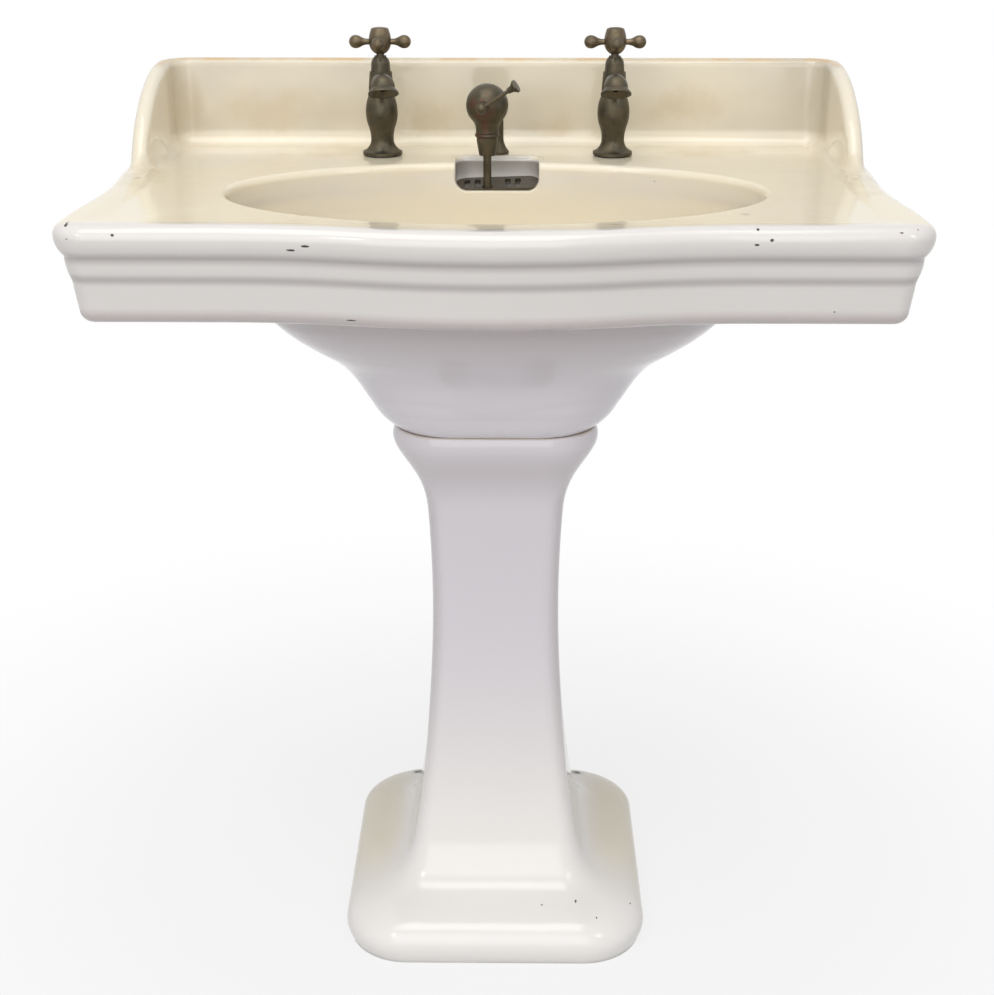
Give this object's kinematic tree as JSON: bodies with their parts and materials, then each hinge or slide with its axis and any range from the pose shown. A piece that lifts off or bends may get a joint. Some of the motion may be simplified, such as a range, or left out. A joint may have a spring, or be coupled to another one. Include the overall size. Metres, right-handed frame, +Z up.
{
  "type": "pedestal basin",
  "caption": "Cast-iron pedestal basin with rolled rim, splash back, oval bowl, cross-handle pillar taps and a lever lift-up waste on a flared hollow pedestal.",
  "frame": {"origin": "on the floor, under the middle of the basin's width and depth", "axes": "+X to the right as seen from the front, +Y towards the wall, +Z up"},
  "size_m": [0.782, 0.518, 0.9617],
  "materials": {
    "enamel": "aged cream-white vitreous enamel on cast iron, glossy, with small chips and faint rust stains",
    "bronze": "brass gone dark brown with age, half gloss",
    "rubber": "black matte"
  },
  "bodies": {
    "basin_set": {"basin": "enamel", "pedestal": "enamel", "hot_tap_body": "bronze", "hot_tap_washer": "rubber", "hot_tap_back_nut": "bronze", "hot_tap_bonnet": "bronze", "hot_tap_gland": "bronze", "cold_tap_body": "bronze", "cold_tap_washer": "rubber", "cold_tap_back_nut": "bronze", "cold_tap_bonnet": "bronze", "cold_tap_gland": "bronze", "waste_pillar": "bronze", "waste_pillar_nut": "bronze", "waste_head": "bronze", "waste_cover": "bronze", "waste_guide_ring": "bronze", "waste_guide": "bronze", "waste_grating": "bronze", "outlet_body": "bronze", "outlet_washer": "rubber", "outlet_seal": "rubber", "outlet_nut": "bronze"},
    "hot_valve": {"hot_valve_washer": "rubber", "hot_valve_jumper": "bronze"},
    "hot_spindle": {"hot_tap_spindle": "bronze", "hot_tap_handle": "bronze", "hot_tap_index": "bronze"},
    "cold_valve": {"cold_valve_washer": "rubber", "cold_valve_jumper": "bronze"},
    "cold_spindle": {"cold_tap_spindle": "bronze", "cold_tap_handle": "bronze", "cold_tap_index": "bronze"},
    "waste_lever": {"waste_crank": "bronze", "waste_lever": "bronze", "waste_knob": "bronze", "waste_lever_nut": "bronze"},
    "waste_rod": {"waste_lift_rod": "bronze", "waste_plunger": "bronze", "plunger_washer": "rubber", "plunger_nut": "bronze"}
  },
  "joints": [
    {"name": "hot_valve_lift", "type": "slide", "parent": "basin_set", "child": "hot_valve", "axis": [0, 0, 1], "range_m": [0, 0.006]},
    {"name": "hot_handle_turn", "type": "hinge", "parent": "hot_valve", "child": "hot_spindle", "pos_m": [-0.126, 0.168, 0.9], "axis": [0, 0, 1], "range_deg": [0, 900]},
    {"name": "cold_valve_lift", "type": "slide", "parent": "basin_set", "child": "cold_valve", "axis": [0, 0, 1], "range_m": [0, 0.006]},
    {"name": "cold_handle_turn", "type": "hinge", "parent": "cold_valve", "child": "cold_spindle", "pos_m": [0.126, 0.168, 0.9], "axis": [0, 0, 1], "range_deg": [0, 900]},
    {"name": "waste_lever_turn", "type": "hinge", "parent": "basin_set", "child": "waste_lever", "pos_m": [-0.0106, 0.13111, 0.885], "axis": [0.2079, 0.9781, 0], "range_deg": [0, 90]},
    {"name": "waste_rod_lift", "type": "slide", "parent": "basin_set", "child": "waste_rod", "axis": [0, 0, 1], "range_m": [0, 0.01697]}
  ],
  "couplings": [
    {"joint": "hot_handle_turn", "follows": "hot_valve_lift", "rad_per_m": 2618},
    {"joint": "cold_handle_turn", "follows": "cold_valve_lift", "rad_per_m": 2618},
    {"joint": "waste_lever_turn", "follows": "waste_rod_lift", "rad_per_m": 92.558}
  ]
}
